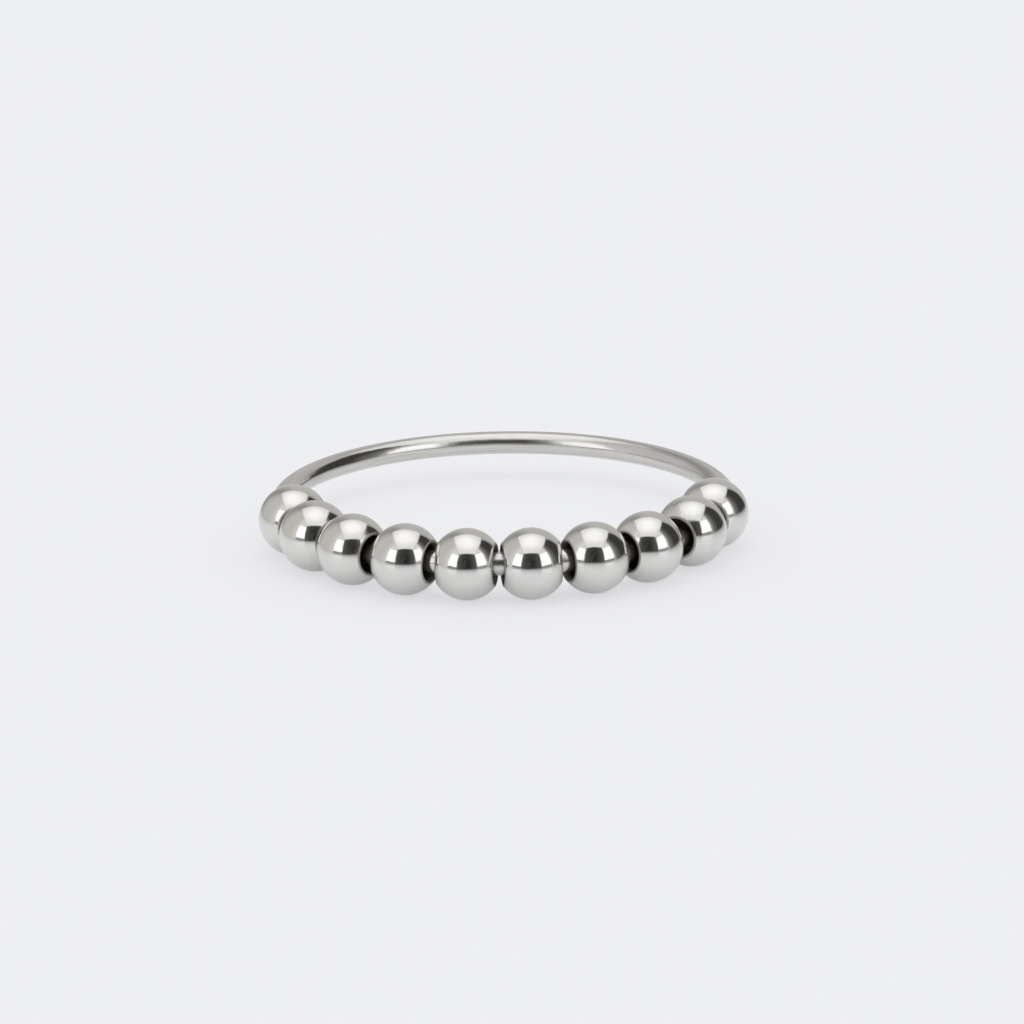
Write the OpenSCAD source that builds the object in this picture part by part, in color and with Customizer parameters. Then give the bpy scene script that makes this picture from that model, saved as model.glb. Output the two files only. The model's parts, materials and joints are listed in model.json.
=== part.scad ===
// Spinner ring: a closed ring of round wire with a row of drilled beads threaded on its front.
// Sizes are in millimetres and +Z is up. The origin is the centre of the finger hole, level
// with the middle of the wire. The row of beads faces -Y, and the ring lies on their undersides.

/* [Wire ring] */
// Inside width of the wire ring, which is the finger size
finger_d = 17.95; // [15:0.05:22]
// Thickness of the round wire
wire_d = 1; // [0.8:0.05:1.2]

/* [Beads] */
// Number of beads on the wire
bead_count = 10; // [3:1:12]
// Width of one round bead
bead_d = 3; // [2.6:0.1:3.6]
// Running clearance between the wire and the wall of a bead's bore
bore_play = 0.3; // [0.2:0.01:0.4]
// Width of the chamfer at each end of a bore
rim_chamfer = 0.1; // [0.05:0.01:0.15]

/* [Row] */
// How far the middle of the row stands outside the wire's circle, as a share of bore_play
middle_outset = 0.52; // [0:0.01:0.6]
// How far the two end beads lie inside the wire's circle, as a share of bore_play
end_inset = 0.86; // [0:0.01:0.9]
// Gap between two neighbours that are pushed together
bead_gap = 0.03; // [0.03:0.01:0.2]
// Extra room between the two neighbours that stand furthest apart
widest_play = 0.32; // [0:0.01:0.5]

/* [Hidden] */
$fn = 96;

// The extra room after each bead, from the left, as a share of widest_play
PLAY_SHARES = [0, 0, 0.2, 0.1, 0, 0.17, 0.1, 1, 0.55];

// How far the ends of each bead's bore are set over, from the left, as a share of bore_play. A
// positive share turns the bead's right end towards the finger.
LEAN_SHARES = [-0.18, 0.64, 0, 0, 0, 0, 0, 0, 0, 0];

wire_ring_r = (finger_d + wire_d) / 2;
bead_r = bead_d / 2;
bore_r = wire_d / 2 + bore_play;

// The outer edge of a bore's chamfer: its distance from the bore's axis and from the bead's middle
rim_r = bore_r + rim_chamfer;
rim_z = sqrt(bead_r ^ 2 - rim_r ^ 2);

// How far bead i is from the middle of the row, from 0 there to 1 at both ends
function end_share(i) = abs(2 * i / (bead_count - 1) - 1);

// How far the middle of bead i is from the ring's centre. The play lets the middle of the row
// stand forward of the wire's circle and draws its ends inward.
function bead_ring_r(i) = wire_ring_r
    + bore_play * (middle_outset - (middle_outset + end_inset) * end_share(i) ^ 1.5);

// The rims of two neighbours come nearest on the finger's side of the bores. This is the turn
// about the ring's centre from the middle of bead i to that point and half of bead_gap beyond.
// A lean hardly brings two rims nearer, so it is left out.
function half_pitch(i) = let (reach = bead_ring_r(i) - rim_r)
    atan2(rim_z, reach) + asin(bead_gap / 2 / norm([rim_z, reach]));

// An arc length on the wire's circle as an angle
function arc_angle(len) = len / wire_ring_r * 180 / PI;

// The turn from the first bead to bead i, where 0 is the first
function turn_to(i) = i == 0 ? 0
    : turn_to(i - 1) + half_pitch(i - 1) + half_pitch(i)
        + arc_angle(widest_play * PLAY_SHARES[(i - 1) % len(PLAY_SHARES)]);

// The angle of bead i from the front, positive towards +X, with the row centred on the front
function bead_angle(i) = turn_to(i) - turn_to(bead_count - 1) / 2;

// A loose bead can lean on the wire until the ends of its bore touch it
function bead_lean(i) = asin(bore_play * LEAN_SHARES[i % len(LEAN_SHARES)] / rim_z);

function bead_name(i) = str("bead_", i < 9 ? "0" : "", i + 1);

// The closed ring of round wire
module band() {
    color("silver")
    rotate_extrude()
        translate([wire_ring_r, 0])
            circle(d = wire_d);
}

// A cone that chamfers the upper end of a bore along Z. It starts inside the bore and ends
// past the bead.
module rim_cutter() {
    translate([0, 0, rim_z - 2 * rim_chamfer])
        cylinder(r1 = rim_r - 2 * rim_chamfer, r2 = rim_r + rim_chamfer, h = 3 * rim_chamfer);
}

// One bead about the origin, drilled along Z
module drilled_bead() {
    difference() {
        sphere(r = bead_r);
        cylinder(r = bore_r, h = bead_d, center = true);
        rim_cutter();
        mirror([0, 0, 1]) rim_cutter();
    }
}

// Bead i in its place, with its bore along the wire
module bead(i) {
    color("gainsboro")
    rotate([0, 0, bead_angle(i)])
        translate([0, -bead_ring_r(i), 0])
            rotate([0, 90, bead_lean(i)])
                drilled_bead();
}

band();
for (i = [0 : bead_count - 1])
    bead(i);
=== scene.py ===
# %% [markdown]
# A spinner ring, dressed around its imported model
#
# The object is a slim finger ring. A closed hoop of round steel wire carries ten polished, drilled
# steel beads. They spin and slide on the hoop, and lie together at its front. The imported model
# already has every piece at its real size. This script remakes the pieces as finer meshes that
# can carry a mirror finish, lays them on a pale floor in a small studio, and places the camera
# where the photograph was taken from.
#
# It isn't moved or changed, and anything that is made here is placed by what the frame says.

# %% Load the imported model
import json
import math

import bmesh
import bpy
from mathutils import Matrix, Vector

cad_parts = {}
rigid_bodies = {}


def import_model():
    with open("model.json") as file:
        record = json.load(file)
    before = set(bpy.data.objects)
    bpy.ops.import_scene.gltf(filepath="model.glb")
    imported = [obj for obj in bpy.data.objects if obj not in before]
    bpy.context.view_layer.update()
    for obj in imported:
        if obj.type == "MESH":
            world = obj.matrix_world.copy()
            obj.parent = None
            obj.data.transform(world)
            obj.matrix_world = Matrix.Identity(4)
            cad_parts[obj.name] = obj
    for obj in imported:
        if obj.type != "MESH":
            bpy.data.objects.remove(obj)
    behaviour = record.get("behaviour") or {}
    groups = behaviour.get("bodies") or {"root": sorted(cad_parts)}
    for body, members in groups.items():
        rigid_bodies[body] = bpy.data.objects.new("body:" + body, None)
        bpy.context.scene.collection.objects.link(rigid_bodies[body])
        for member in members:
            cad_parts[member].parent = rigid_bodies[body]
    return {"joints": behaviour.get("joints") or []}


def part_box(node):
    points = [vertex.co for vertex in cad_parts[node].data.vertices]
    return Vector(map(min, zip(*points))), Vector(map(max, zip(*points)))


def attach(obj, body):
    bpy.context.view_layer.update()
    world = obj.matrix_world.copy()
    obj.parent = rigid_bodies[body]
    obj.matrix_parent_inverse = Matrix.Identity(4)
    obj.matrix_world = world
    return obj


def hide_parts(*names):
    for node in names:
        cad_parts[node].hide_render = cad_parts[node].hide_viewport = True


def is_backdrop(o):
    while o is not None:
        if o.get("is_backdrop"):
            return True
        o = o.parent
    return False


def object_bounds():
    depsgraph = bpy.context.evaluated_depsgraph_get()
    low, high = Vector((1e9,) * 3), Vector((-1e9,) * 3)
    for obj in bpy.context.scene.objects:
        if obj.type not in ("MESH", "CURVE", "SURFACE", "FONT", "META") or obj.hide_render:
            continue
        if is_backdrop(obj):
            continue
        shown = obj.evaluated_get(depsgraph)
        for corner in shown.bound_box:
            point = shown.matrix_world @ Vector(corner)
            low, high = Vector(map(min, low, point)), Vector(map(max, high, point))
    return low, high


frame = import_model()
cad_low, cad_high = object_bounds()
MM = 0.001


def in_mm(lengths, digits=2):
    """Lengths in metres as rounded millimetres, for printing."""
    return [round(length / MM, digits) for length in lengths]


print("model in mm, low", in_mm(cad_low), "high", in_mm(cad_high))

# %% [markdown]
# Sizes read from the frame
#
# Nothing here repeats a size that the frame can give. The wire's box gives its thickness and the
# circle that it follows, a bead's box gives the bead's radius, and each bead's joint gives its
# middle and the axis of its bore. Only the bore has no box, so its two sizes are written out: the
# radius of its wall, and the outer radius of its rounded lip.

# %% Work out the sizes
wire_low, wire_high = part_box("band")
wire_r = (wire_high.z - wire_low.z) / 2
hoop_r = (wire_high.x - wire_low.x) / 2 - wire_r
bead_low, bead_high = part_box("bead_01")
bead_r = (bead_high.z - bead_low.z) / 2
bore_r = 0.8 * MM
rim_r = 0.9 * MM
floor_z = cad_low.z
beads = [(j["child"], Vector(j["pos_m"]), Vector(j["axis"])) for j in frame["joints"]]
print("radius of wire, hoop and bead in mm", in_mm((wire_r, hoop_r, bead_r), 3))
print("beads", len(beads))

# %% [markdown]
# The camera
#
# The photograph looks a little down on the ring through a long lens. The lens, the three turns
# and the distance were found by fitting the ten beads and the wire to their places in the
# picture. The last value says where the middle of the hoop lies, seen from the camera.

# %% Place the camera
LENS_PX = 6000
IMAGE_PX = 1024
SENSOR_MM = 36
QUARTER_TURN = math.radians(90)
CAMERA_TURN = math.radians(-0.25)
CAMERA_TILT = math.radians(15.92)
CAMERA_ROLL = math.radians(-0.85)
HOOP_FROM_CAMERA = Vector((-0.37, 0.477, -256.53)) * MM

bpy.ops.object.camera_add()
camera = bpy.context.object
camera.name = "photo_camera"
camera.data.sensor_width = SENSOR_MM
camera.data.lens = LENS_PX / IMAGE_PX * SENSOR_MM
camera.data.clip_start = 0.01
camera.data.clip_end = 10
upright = Matrix.Rotation(QUARTER_TURN - CAMERA_TILT, 3, "X")
facing = Matrix.Rotation(CAMERA_TURN, 3, "Z") @ upright @ Matrix.Rotation(CAMERA_ROLL, 3, "Z")
camera.matrix_world = Matrix.Translation(-(facing @ HOOP_FROM_CAMERA)) @ facing.to_4x4()
bpy.context.scene.camera = camera
print("camera at mm", in_mm(camera.matrix_world.translation, 1))

# %% [markdown]
# Node maths that reads like maths
#
# A finish is a chain of small sums on patterns. Written as plain node calls, such a chain is hard
# to follow, so one small class wraps a socket and lets Python's own signs build the Math nodes.
# Everything that isn't a sum goes through one method that makes any node.


# %% Wrap sockets so that sums read as sums
class Value:
    """A node's output that can be added and multiplied like a number."""

    def __init__(self, finish, socket):
        self.finish = finish
        self.socket = socket

    def math(self, operation, *others):
        inputs = dict(enumerate((self, *others)))
        return self.finish.node("ShaderNodeMath", {"operation": operation}, inputs)

    def __add__(self, other):
        return self.math("ADD", other)

    def __sub__(self, other):
        return self.math("SUBTRACT", other)

    def __mul__(self, other):
        return self.math("MULTIPLY", other)

    def __rsub__(self, other):
        return self * -1 + other

    __radd__ = __add__
    __rmul__ = __mul__

    def root(self):
        return self.math("SQRT")

    def size(self):
        return self.math("ABSOLUTE")

    def wave(self):
        return self.math("SINE")

    def step(self, low, high):
        """A smooth step from 0 at low to 1 at high."""
        settings = {"interpolation_type": "SMOOTHSTEP"}
        inputs = {"Value": self, "From Min": low, "From Max": high}
        return self.finish.node("ShaderNodeMapRange", settings, inputs)


# %% [markdown]
# One material at a time
#
# A second class holds the material that is being made and the few kinds of node that this scene
# needs. Places on an object are in millimetres, and so are the edges of all marks. The Mix node
# has a set of sockets for each type of value, with the same names in each set, so its colour
# sockets are picked by number.

# %% Make materials step by step
MIX_MASK, MIX_A, MIX_B, MIX_RESULT = 0, 6, 7, 2


def as_colour(colour):
    """What a colour socket takes, from a grey level, three parts of a colour or a Value."""
    if isinstance(colour, Value):
        return colour
    if isinstance(colour, tuple):
        return (*colour, 1)
    return (colour, colour, colour, 1)


class Finish:
    """A material under construction."""

    def __init__(self, name):
        self.material = bpy.data.materials.new(name)
        self.material.use_nodes = True
        self.tree = self.material.node_tree
        self.tree.nodes.clear()

    def node(self, kind, settings=None, inputs=None, output=0):
        """Adds a node: first its settings, then the values or links of its sockets."""
        node = self.tree.nodes.new(kind)
        for name, setting in (settings or {}).items():
            setattr(node, name, setting)
        for key, value in (inputs or {}).items():
            if isinstance(value, Value):
                self.tree.links.new(value.socket, node.inputs[key])
            else:
                node.inputs[key].default_value = value
        return Value(self, node.outputs[output])

    def place(self):
        """The place on the object in millimetres, as a vector."""
        inputs = {"Vector": self.node("ShaderNodeTexCoord", output="Object"), "Scale": 1 / MM}
        return self.node("ShaderNodeVectorMath", {"operation": "SCALE"}, inputs)

    def places(self):
        """The same place as three numbers."""
        inputs = {"Vector": self.place()}
        return [self.node("ShaderNodeSeparateXYZ", inputs=inputs, output=axis) for axis in "XYZ"]

    def stored(self, name):
        """A number that the mesh keeps at each of its points."""
        return self.node("ShaderNodeAttribute", {"attribute_name": name}, output="Fac")

    def noise(self, place, scale, detail=2):
        """Blotches round a middle value of a half, about scale of them to a millimetre."""
        inputs = {"Vector": place, "Scale": scale, "Detail": detail}
        return self.node("ShaderNodeTexNoise", inputs=inputs)

    def tint(self, mask, colour_at_0, colour_at_1):
        """A colour that goes from one to the other with the mask."""
        inputs = {MIX_MASK: mask, MIX_A: as_colour(colour_at_0), MIX_B: as_colour(colour_at_1)}
        return self.node("ShaderNodeMix", {"data_type": "RGBA"}, inputs, output=MIX_RESULT)

    def bump(self, height, strength, depth_mm):
        inputs = {"Strength": strength, "Distance": depth_mm * MM, "Height": height}
        return self.node("ShaderNodeBump", inputs=inputs)

    def surface(self, **inputs):
        """Ends the material as a Principled surface. Underscores stand for spaces in names."""
        sockets = {name.replace("_", " "): value for name, value in inputs.items()}
        return self.end(self.node("ShaderNodeBsdfPrincipled", inputs=sockets))

    def glow(self, colour):
        """Ends the material as plain light."""
        return self.end(self.node("ShaderNodeEmission", inputs={"Color": as_colour(colour)}))

    def end(self, shader):
        output = self.tree.nodes.new("ShaderNodeOutputMaterial")
        self.tree.links.new(shader.socket, output.inputs["Surface"])
        print(self.material.name, len(self.tree.nodes), "nodes")
        return self.material


# %% [markdown]
# Hands for the modelling steps
#
# Blender's operators work on whatever is selected, and loading the frame leaves its pieces
# selected. So every new piece starts with a clean selection, and inside edit mode the wanted
# edges are picked by their place.


# %% Selection helpers
def clear_selection():
    bpy.ops.object.select_all(action="DESELECT")


def pick_edges(test):
    """In edit mode, selects exactly the edges for which test says yes."""
    mesh = bmesh.from_edit_mesh(bpy.context.object.data)
    bpy.ops.mesh.select_mode(type="EDGE")
    bpy.ops.mesh.select_all(action="DESELECT")
    for edge in mesh.edges:
        if test(edge):
            edge.select = True
    mesh.select_flush(True)
    bmesh.update_edit_mesh(bpy.context.object.data)


# %% [markdown]
# One bead
#
# The real bead is a solid steel ball, drilled through and then tumbled, which leaves the mouth of
# the hole softly rounded. It could be cut with booleans, but they leave thin faces at the mouth,
# and a mirror finish shows each of them. So a ball is cut flat at both poles with bisect. Bisect
# keeps corners that lie within its threshold of the cut, and the usual tenth of a millimetre
# would be wider than the lip.

# %% Cut the ball flat at both poles
BEAD_SIDES = 128
BEAD_RINGS = 80
MERGE = 1e-7
ENDS = (1, -1)

rim_z = math.sqrt(bead_r**2 - rim_r**2)

clear_selection()
bpy.ops.mesh.primitive_uv_sphere_add(segments=BEAD_SIDES, ring_count=BEAD_RINGS, radius=bead_r)
bead = bpy.context.object
bead.name = "bead_pattern"
bpy.ops.object.mode_set(mode="EDIT")
for end in ENDS:
    bpy.ops.mesh.select_all(action="SELECT")
    bpy.ops.mesh.bisect(
        plane_co=(0, 0, end * rim_z), plane_no=(0, 0, end), clear_outer=True, threshold=MERGE
    )
print("cuts at mm from the middle", in_mm([rim_z], 3))

# %% [markdown]
# The lips and the bore
#
# The rounded lip is part of a small circle that touches both the ball and the wall of the bore.
# Each open edge is rolled over into the hole along it, by short extrusions that are moved and then
# drawn together. The two edges that are left are bridged to make the wall of the bore.

# %% Roll the lips over and bridge the bore
LIP_STEPS = 10
BORE_RINGS = 12

rim_slope = math.asin(rim_r / bead_r)
lip_r = (rim_r - bore_r) / (1 + math.sin(rim_slope))
lip_middle_r = rim_r - lip_r * math.sin(rim_slope)
lip_middle_z = rim_z - lip_r * math.cos(rim_slope)

for end in ENDS:
    pick_edges(lambda e: e.is_boundary and e.verts[0].co.z * end > 0)
    here_r, here_z = rim_r, rim_z
    for step in range(1, LIP_STEPS + 1):
        angle = QUARTER_TURN - rim_slope + step / LIP_STEPS * (QUARTER_TURN + rim_slope)
        next_r = lip_middle_r + lip_r * math.cos(angle)
        next_z = lip_middle_z + lip_r * math.sin(angle)
        move = (0, 0, end * (next_z - here_z))
        bpy.ops.mesh.extrude_edges_move(TRANSFORM_OT_translate={"value": move})
        grow = next_r / here_r
        bpy.ops.transform.resize(value=(grow, grow, 1), center_override=(0, 0, 0))
        here_r, here_z = next_r, next_z
pick_edges(lambda e: e.is_boundary)
bpy.ops.mesh.bridge_edge_loops(number_cuts=BORE_RINGS)
bpy.ops.mesh.select_all(action="SELECT")
bpy.ops.mesh.remove_doubles(threshold=MERGE)
bpy.ops.mesh.normals_make_consistent(inside=False)
bpy.ops.object.mode_set(mode="OBJECT")
bpy.ops.object.shade_smooth()
print("bead faces", len(bead.data.polygons), "lip radius mm", in_mm([lip_r], 4))

# %% [markdown]
# Marking the hole on the mesh
#
# The wall of the hole has another finish than the ball. Its faces get the second material, and
# every point keeps its place along the bore and its distance from the bore's axis. The finishes
# read these two, so drill marks, the painted shade deep in the hole and the lip follow the hole
# however the bead is turned.

# %% Mark the bore
BEAD_SLOT, BORE_SLOT = 0, 1
WALL_MARGIN = 1.02

along_bore = bead.data.attributes.new("along_bore", "FLOAT", "POINT")
across_bore = bead.data.attributes.new("across_bore", "FLOAT", "POINT")
for vertex in bead.data.vertices:
    along_bore.data[vertex.index].value = vertex.co.z / MM
    across_bore.data[vertex.index].value = math.hypot(vertex.co.x, vertex.co.y) / MM
for face in bead.data.polygons:
    face_r = math.hypot(face.center.x, face.center.y)
    on_wall = face_r < bore_r * WALL_MARGIN and abs(face.center.z) < lip_middle_z
    face.material_index = BORE_SLOT if on_wall else BEAD_SLOT
print("bore faces", sum(f.material_index == BORE_SLOT for f in bead.data.polygons))

# %% [markdown]
# Polished steel for the beads
#
# The balls are mirror bright, so nearly all that they show is the studio around them. A perfect
# mirror still looks like a computer's. Real tumbled steel has a skin that is slightly uneven, so
# the edges of a reflection are soft, and it has hair-thin scratches that catch the light. Near
# both mouths of the hole, where the beads rub on each other, the shine has gone patchy, and the
# lip of the hole is dull and grey.

# %% Find the marks of wear on a bead
LIP_EDGE = (0.925, 0.95)
RUB_EDGE = (0.8, 1.2)
LINE_STRETCH = 0.04


def scratch_lines(finish, place, turned, scale, width):
    """Thin lines in one direction: a noise that is long that way, cut near its middle value."""
    stretch = (scale, scale, scale * LINE_STRETCH)
    inputs = {"Vector": place, "Rotation": turned, "Scale": stretch}
    wander = finish.noise(finish.node("ShaderNodeMapping", inputs=inputs), 1, detail=1)
    return 1 - (wander - 0.5).size().step(0, width)


finish = Finish("polished bead steel")
place = finish.place()
lip = 1 - finish.stored("across_bore").step(*LIP_EDGE)
near_end = finish.stored("along_bore").size().step(*RUB_EDGE)
rubbed = near_end * finish.noise(place, 1.6, detail=3).step(0.45, 0.7)
haze = finish.noise(place, 1.3, detail=4).step(0.45, 0.8)
skin = finish.noise(place, 2.2, detail=1)
one_way = scratch_lines(finish, place, turned=(0.4, 1.1, 0.2), scale=5, width=0.012)
other_way = scratch_lines(finish, place, turned=(1.3, 0.3, 1.9), scale=6, width=0.01)
scratches = (one_way + other_way) * finish.noise(place, 0.9).step(0.4, 0.7)
print("nodes for the marks of wear", len(finish.tree.nodes))

# %% [markdown]
# The brushed spot
#
# The ninth bead has a brushed spot high on its left shoulder. All beads share one material, so
# the spot is found by its distance from a point on that bead's skin. A noise makes its edge
# ragged, and broad scratch lines give it its strokes. Then all marks come together: each takes
# some of the shine away, and the deeper ones also stand out as a relief.

# %% Make the bead finish
STEEL = (0.722, 0.714, 0.692)
STEEL_WORN = (0.61, 0.598, 0.57)
LIP_STEEL = (0.52, 0.5, 0.465)
BRUSHED_BEAD = 8
BRUSHED_WAY = Vector((-0.47, -0.49, 0.735))
BRUSHED_EDGE = (0.75, 1.15)

spot = (beads[BRUSHED_BEAD][1] + BRUSHED_WAY * bead_r) / MM
pair = {0: place, 1: spot}
from_spot = finish.node("ShaderNodeVectorMath", {"operation": "DISTANCE"}, pair, output="Value")
ragged = from_spot + finish.noise(place, 4, detail=3) * 0.5
strokes = scratch_lines(finish, place, turned=(0.15, 0.1, 0), scale=9, width=0.1)
brushed = (1 - ragged.step(*BRUSHED_EDGE)) * (0.3 + strokes * 0.7)

worn = haze * 0.3 + scratches * 0.3 + rubbed * 0.2 + brushed * 0.2
relief = skin - scratches * 0.1 + brushed * strokes * 3
dull_polish = 0.085 + haze * 0.035 + scratches * 0.12 + rubbed * 0.12
bead_steel = finish.surface(
    Base_Color=finish.tint(lip, finish.tint(worn, STEEL, STEEL_WORN), LIP_STEEL),
    Metallic=1,
    Roughness=dull_polish + brushed * 0.2 + lip * 0.45,
    Normal=finish.bump(relief, strength=0.1, depth_mm=0.02),
)

# %% [markdown]
# The drilled hole
#
# The drill leaves a dull grey wall with fine rings round the axis. Deep in the hole the wall is
# painted nearly black, a painted shade for the dark that falls there. Close to the mouth it is a
# brownish grey with blotches of dirt, and its last tenth of a millimetre is nearly as pale as the
# lip. Rings and the painted shade follow the depth that was stored on the mesh.

# %% Make the bore finish
BORE_PAINTED_SHADE = (0.07, 0.055, 0.036)
BORE_BROWN_GREY = (0.42, 0.385, 0.31)
BORE_GRIMY = (0.27, 0.24, 0.18)
MOUTH_STEEL = (0.42, 0.4, 0.365)
SHADE_EDGE = (0.8, 1.08)
MOUTH_EDGE = (0.98, 1.08)

finish = Finish("drilled bore")
place = finish.place()
depth = finish.stored("along_bore")
drill_rings = (depth * 60 + finish.noise(place, 3) * 6).wave()
grime = finish.noise(place, 5, detail=5).step(0.3, 0.7)
blotched_wall = finish.tint(grime, BORE_BROWN_GREY, BORE_GRIMY)
# Painted shade: the wall is nearly black deep in the hole and lightens towards both mouths.
wall = finish.tint(depth.size().step(*SHADE_EDGE), BORE_PAINTED_SHADE, blotched_wall)
bore_steel = finish.surface(
    Base_Color=finish.tint(depth.size().step(*MOUTH_EDGE), wall, MOUTH_STEEL),
    Metallic=0.4,
    Roughness=0.42 + grime * 0.2,
    Normal=finish.bump(drill_rings, strength=0.3, depth_mm=0.01),
)

# %% [markdown]
# Ten beads on the hoop
#
# Each bead is a copy with a mesh of its own, turned so that its bore lies along the wire, and
# given another turn about the bore so that no two show the same side. The copy's place is then
# written into its mesh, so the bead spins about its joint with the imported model.

# %% Copy the bead to its places
UP = Vector((0, 0, 1))
TURN_BETWEEN_BEADS = 2.4

bead.data.materials.append(bead_steel)
bead.data.materials.append(bore_steel)
for number, (body, middle, axis) in enumerate(beads, 1):
    copy = bead.copy()
    copy.data = bead.data.copy()
    copy.name = f"steel_bead_{number:02d}"
    bpy.context.collection.objects.link(copy)
    lie_down = UP.rotation_difference(axis).to_matrix().to_4x4()
    roll = Matrix.Rotation(number * TURN_BETWEEN_BEADS, 4, "Z")
    copy.data.transform(Matrix.Translation(middle) @ lie_down @ roll)
    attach(copy, body)
    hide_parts(body)
bpy.data.objects.remove(bead)
print("beads placed", len(beads))

# %% [markdown]
# The hoop
#
# The hoop is one length of drawn steel wire, bent round and closed, and its joint must lie under
# the beads. A small circle stands upright where the wire passes, and spinning it once round the
# finger hole makes the hoop with as many steps as a mirror finish needs.

# %% Spin the wire
WIRE_SIDES = 48
HOOP_STEPS = 360

clear_selection()
bpy.ops.mesh.primitive_circle_add(
    vertices=WIRE_SIDES, radius=wire_r, location=(hoop_r, 0, 0), rotation=(QUARTER_TURN, 0, 0)
)
hoop = bpy.context.object
hoop.name = "wire_hoop"
bpy.ops.object.transform_apply(location=True, rotation=True, scale=True)
bpy.ops.object.mode_set(mode="EDIT")
bpy.ops.mesh.select_all(action="SELECT")
bpy.ops.mesh.spin(
    steps=HOOP_STEPS, angle=math.radians(360), center=(0, 0, 0), axis=(0, 0, 1)
)
bpy.ops.mesh.select_all(action="SELECT")
bpy.ops.mesh.remove_doubles(threshold=MERGE)
bpy.ops.mesh.normals_make_consistent(inside=False)
bpy.ops.object.mode_set(mode="OBJECT")
bpy.ops.object.shade_smooth()
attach(hoop, "band")
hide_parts("band")
print("hoop faces", len(hoop.data.polygons))

# %% [markdown]
# Drawn wire
#
# Wire is pulled through a die, which leaves very fine marks along it that polishing doesn't
# quite remove. The marks are a noise that changes fast across the wire and slowly along it. Its
# four coordinates are the place across the wire and the direction round the hoop, so there is
# no seam anywhere. At the very front, between the two middle beads, sliding beads have scuffed
# the wire, and its back has lost some shine too.

# %% Draw marks along the wire
finish = Finish("drawn wire steel")
x, y, z = finish.places()
outward = (x * x + y * y).root() - hoop_r / MM


def drawing_marks(fineness, slowness, detail):
    """A noise that changes fast across the wire and slowly along it."""
    inputs = {"X": outward * fineness, "Y": z * fineness, "Z": x * slowness}
    wire_place = finish.node("ShaderNodeCombineXYZ", inputs=inputs)
    inputs = {"Vector": wire_place, "W": y * slowness, "Scale": 1, "Detail": detail}
    return finish.node("ShaderNodeTexNoise", {"noise_dimensions": "4D"}, inputs)


fine_marks = drawing_marks(fineness=14, slowness=0.35, detail=3)
broad_marks = drawing_marks(fineness=4, slowness=0.15, detail=2)
print("nodes for the drawing marks", len(finish.tree.nodes))

# %% Make the wire finish
WIRE_STEEL = (0.69, 0.683, 0.665)
WIRE_WORN = (0.575, 0.56, 0.535)
SCUFF_FRONT, SCUFF_SIDE = (-9, -8.4), (1.4, 2.2)
WEAR_BACK, WEAR_SIDE = (5, 8), (1.5, 5)

waves = finish.noise(finish.place(), 1.1, detail=1)
dull = finish.noise(finish.place(), 0.5, detail=3).step(0.35, 0.75)
between_beads = (1 - y.step(*SCUFF_FRONT)) * (1 - x.size().step(*SCUFF_SIDE))
scuffed = between_beads * (0.4 + fine_marks * 0.4)
back_wear = y.step(*WEAR_BACK) * (1 - x.size().step(*WEAR_SIDE))
wire_steel = finish.surface(
    Base_Color=finish.tint(fine_marks.step(0.4, 0.75), WIRE_STEEL, WIRE_WORN),
    Metallic=1,
    Roughness=0.1 + dull * 0.06 + fine_marks * 0.06 + scuffed * 0.22 + back_wear * 0.1,
    Normal=finish.bump(fine_marks + broad_marks * 0.6 + waves * 6, strength=0.3, depth_mm=0.01),
)
hoop.data.materials.append(wire_steel)

# %% [markdown]
# The floor
#
# The ring lies on a plain pale floor, under the lowest points of the beads. The floor is large,
# because the beads are mirrors and show it up to the horizon. In the photograph the beads stay
# bright underneath and cast next to no shadow, as on a light table, so the floor gives more than
# half of its brightness itself.

# %% Lay the matt floor
FLOOR_SIZE = 6
FLOOR_GREY = (0.285, 0.288, 0.293)
FLOOR_LIGHT = (0.968, 0.971, 1)


def floor_sheet(name, height, material):
    clear_selection()
    bpy.ops.mesh.primitive_plane_add(size=FLOOR_SIZE, location=(0, 0, height))
    sheet = bpy.context.object
    sheet.name = name
    sheet.data.materials.append(material)
    return sheet


matt = Finish("matt floor").surface(
    Base_Color=as_colour(FLOOR_GREY),
    Emission_Color=as_colour(FLOOR_LIGHT),
    Emission_Strength=0.6,
    Specular_IOR_Level=0,
)
floor_sheet("matt_floor", floor_z, matt)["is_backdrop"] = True

# %% [markdown]
# The gloss of the table
#
# The beads also show that this table is glossy: towards the horizon it mirrors the dark front of
# the studio. They show it darker inside the ring than round it, too, most of all close behind the
# row, where the beads stand in their own soft shadow. That soft shadow is painted into the table's
# own light. A glossy floor would put a mirror image of the ring into the picture, so there are two
# sheets. The one that the camera sees is matt, and the glossy one just above it shows only in the
# steel. Fresnel gives it the right gloss at each angle, from next to none straight down to a full
# mirror at the horizon.

# %% Lay the glossy table
SHEET_GAP = 0.02 * MM
TABLE_GREY = (0.7, 0.705, 0.72)
PAINTED_SHADOW_BEHIND_ROW = (0.06, 0.06, 0.062)
PAINTED_SHADOW_IN_RING = (0.195, 0.19, 0.18)
LIGHT_ROUND_RING = (0.255, 0.257, 0.263)
RING_EDGE = (8, 10)
ROW_EDGE = (-6, 2)


def only_in_reflections(piece):
    piece.visible_camera = False
    piece.visible_diffuse = False
    piece.visible_shadow = False
    piece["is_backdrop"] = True


finish = Finish("glossy table")
x, y, z = finish.places()
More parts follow.
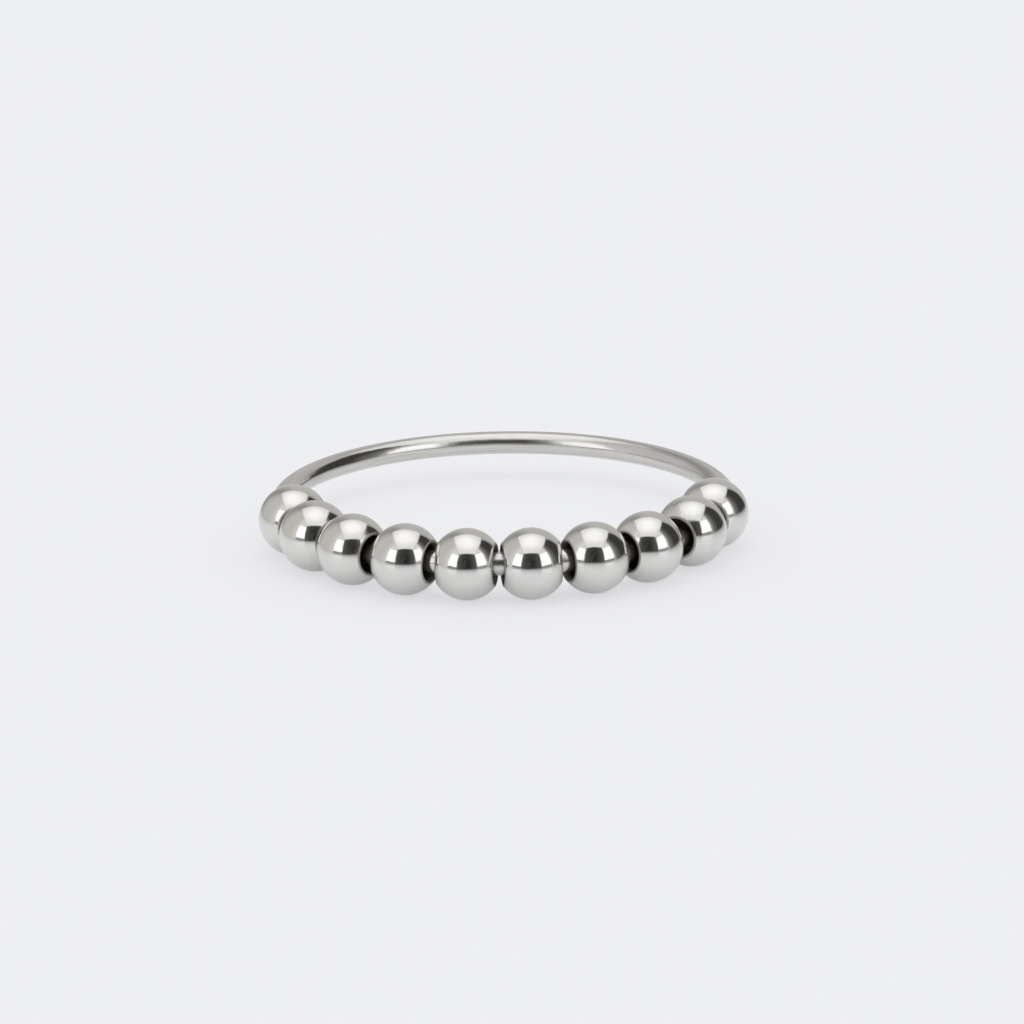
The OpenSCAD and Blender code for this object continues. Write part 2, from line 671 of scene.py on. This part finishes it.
# Painted shadow: the table's own light is lower inside the ring and lowest close behind the row of
# beads.
outside = (x * x + y * y).root().step(*RING_EDGE)
painted_ring_shadow = finish.tint(y.step(*ROW_EDGE), PAINTED_SHADOW_BEHIND_ROW, PAINTED_SHADOW_IN_RING)
table_light = finish.tint(outside, painted_ring_shadow, LIGHT_ROUND_RING)
pale_table = {
    "Base Color": as_colour(TABLE_GREY),
    "Emission Color": table_light,
    "Emission Strength": 1,
    "Specular IOR Level": 0,
}
pale = finish.node("ShaderNodeBsdfPrincipled", inputs=pale_table)
mirror = finish.node("ShaderNodeBsdfGlossy", inputs={"Roughness": 0.08})
sheen = finish.node("ShaderNodeFresnel", inputs={"IOR": 1.13})
glossy = finish.end(finish.node("ShaderNodeMixShader", inputs={0: sheen, 1: pale, 2: mirror}))
only_in_reflections(floor_sheet("glossy_table", floor_z + SHEET_GAP, glossy))

# %% [markdown]
# The tent
#
# A mirror bead is drawn by what stands round it. Read from the beads, the studio is a small white
# tent: a softbox over it, a dark opening in front for the camera, a bright panel at each front
# corner, a black cloth on the right, and grey walls on the left and behind. The sides glow at the
# brightness that the beads show, and only reflections see them. Directions are turns from the
# front, positive to the right, and the heights are those that the beads show as angles.

# %% Helpers for the sides of the tent
TENT_LEFT, TENT_RIGHT = -0.29, 0.346
TENT_FRONT, TENT_BACK = -0.435, 0.4
TENT_TOP = 0.5
PANEL_FROM_RING = 0.42


def side(name, corner_a, corner_b, material, bottom=floor_z, top=TENT_TOP):
    """An upright sheet over the line between two corners on the floor plan, in metres."""
    a, b = Vector((*corner_a, 0)), Vector((*corner_b, 0))
    run = b - a
    middle = (a + b) / 2 + Vector((0, 0, (bottom + top) / 2))
    clear_selection()
    bpy.ops.mesh.primitive_plane_add(size=1, location=middle)
    piece = bpy.context.object
    piece.name = name
    piece.scale = (run.length, top - bottom, 1)
    piece.rotation_euler = (QUARTER_TURN, 0, math.atan2(run.y, run.x))
    bpy.ops.object.transform_apply(location=True, rotation=True, scale=True)
    piece.data.materials.append(material)
    only_in_reflections(piece)


def warm(level):
    """A slightly brownish grey, as the beads show the sides of the tent."""
    return level, level * 0.98, level * 0.955


def at_turn(degrees):
    """The point of the floor plan in a direction, as far off as the bright panels."""
    turn = math.radians(degrees)
    return PANEL_FROM_RING * math.sin(turn), -PANEL_FROM_RING * math.cos(turn)


def on_side_wall(x, degrees):
    """The point in a direction on the wall that stands at x."""
    return x, -x / math.tan(math.radians(degrees))


# %% [markdown]
# The opening
#
# The opening isn't quite even, because there is a dim room behind it, and it is a little brighter
# towards its two edges.

# %% Make the opening
FRONT_LEFT, FRONT_RIGHT = -32.4, 33
DIM, LESS_DIM, OPENING_EDGE = 0.026, 0.066, 0.1

finish = Finish("dark opening")
x, y, z = finish.places()
room = finish.noise(finish.place(), 0.02, detail=4).step(0.35, 0.65)
dim_room = finish.tint(room, warm(DIM), warm(LESS_DIM))
opening = finish.glow(finish.tint(x.size().step(50, 240), dim_room, warm(OPENING_EDGE)))
opening_left = (TENT_FRONT * math.tan(math.radians(-FRONT_LEFT)), TENT_FRONT)
opening_right = (-TENT_FRONT * math.tan(math.radians(FRONT_RIGHT)), TENT_FRONT)
side("front_opening", opening_left, opening_right, opening)

# %% [markdown]
# The two panels
#
# A bright panel stands at each front corner. Below each one a dim strip reaches down to the floor,
# which the beads show as a grey line along the horizon.

# %% Stand up the panels
PANEL_LEFT, PANEL_RIGHT = -62.5, 66.3
PANEL_BOTTOM = 0.036
LEFT_TOP, RIGHT_TOP = 0.338, 0.349

bright = Finish("bright panel").glow(1.5)
dim_strip = Finish("dim strip below panel").glow(0.3)
left_panel = ("left", FRONT_LEFT, PANEL_LEFT, LEFT_TOP)
right_panel = ("right", FRONT_RIGHT, PANEL_RIGHT, RIGHT_TOP)
for name, near, far, panel_top in (left_panel, right_panel):
    side(f"{name}_panel", at_turn(near), at_turn(far), bright, bottom=PANEL_BOTTOM, top=panel_top)
    side(f"{name}_foot", at_turn(near), at_turn(far), dim_strip, top=PANEL_BOTTOM)

# %% [markdown]
# The walls and the black cloth
#
# The left wall is lit from the front and falls off to the back. The black cloth covers most of
# the right wall, and the panel beside it lights its front edge. The two numbers of each fade are
# where it begins and ends, in millimetres from the middle of the ring.

# %% Put up the walls
BACK_LEFT = (TENT_LEFT, TENT_BACK)
BACK_RIGHT = (TENT_RIGHT, TENT_BACK)

finish = Finish("left wall")
x, y, z = finish.places()
front_half = finish.tint(y.step(-134, 0), warm(0.8), warm(0.67))
left = finish.glow(finish.tint(y.step(107, 410), front_half, warm(0.46)))
side("left_wall", on_side_wall(TENT_LEFT, PANEL_LEFT), BACK_LEFT, left)

finish = Finish("right wall with cloth")
x, y, z = finish.places()
on_cloth = y.step(-118, -92) * (1 - y.step(268, 325))
black = finish.tint(y.step(-98, 53), warm(0.2), warm(0.055))
right = finish.glow(finish.tint(on_cloth, warm(0.5), black))
side("right_wall", on_side_wall(TENT_RIGHT, PANEL_RIGHT), BACK_RIGHT, right)

finish = Finish("back wall")
x, y, z = finish.places()
back = finish.glow(finish.tint(x.step(-200, 0), warm(0.37), warm(0.6)))
side("back_wall", BACK_LEFT, BACK_RIGHT, back)

# %% [markdown]
# The softbox
#
# The softbox covers the tent like a lid. It is brightest in its middle and fades where its cloth
# is hemmed at the back and both sides, which gives its reflection the soft edges that the beads
# show. It is the one part of the tent that lights the floor.

# %% Hang the softbox
HEM_BACK, HEM_SIDE = 75, 40
MIDDLE_LIGHT, OUTER_LIGHT, HEM_LIGHT = 1.33, 1, 0.6

clear_selection()
tent_middle = ((TENT_LEFT + TENT_RIGHT) / 2, (TENT_FRONT + TENT_BACK) / 2, TENT_TOP)
bpy.ops.mesh.primitive_plane_add(size=1, location=tent_middle)
softbox = bpy.context.object
softbox.name = "softbox"
softbox.scale = (TENT_RIGHT - TENT_LEFT, TENT_BACK - TENT_FRONT, 1)
bpy.ops.object.transform_apply(location=True, rotation=True, scale=True)

finish = Finish("softbox cloth")
x, y, z = finish.places()
left_mm, right_mm, back_mm = TENT_LEFT / MM, TENT_RIGHT / MM, TENT_BACK / MM
sides = x.step(left_mm, left_mm + HEM_SIDE) * (1 - x.step(right_mm - HEM_SIDE, right_mm))
lit = (1 - y.step(back_mm - HEM_BACK, back_mm)) * sides
from_middle = (x * x + y * y).root()
cloth = finish.tint(from_middle.step(80, 360), MIDDLE_LIGHT, OUTER_LIGHT)
softbox.data.materials.append(finish.glow(finish.tint(lit, HEM_LIGHT, cloth)))
softbox.visible_camera = False
softbox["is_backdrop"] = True

# %% [markdown]
# The white room
#
# A pale sky stands in for the white room round the tent, so the floor runs out evenly to the
# horizon in every view. The plain view transform keeps the whites as bright as they are made.

# %% Light the room
world = bpy.data.worlds.new("white room")
bpy.context.scene.world = world
world.use_nodes = True
background = world.node_tree.nodes["Background"]
background.inputs["Color"].default_value = (0.985, 0.99, 1, 1)
background.inputs["Strength"].default_value = 0.9
bpy.context.scene.view_settings.view_transform = "Standard"
unseen = [o.name for o in bpy.context.scene.objects if not o.visible_camera]
print("shown only in reflections", sorted(unseen))

# %% [markdown]
# The sizes
#
# Last, the size of the dressed model is printed beside the size of the imported one. The dressed
# pieces may not reach past it.

# %% Print the sizes and finish
dressed_low, dressed_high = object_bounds()
sizes = {"cad": [list(cad_low), list(cad_high)], "visual": [list(dressed_low), list(dressed_high)]}
for name, box in sizes.items():
    print(name, "box in mm", [in_mm(corner, 3) for corner in box])
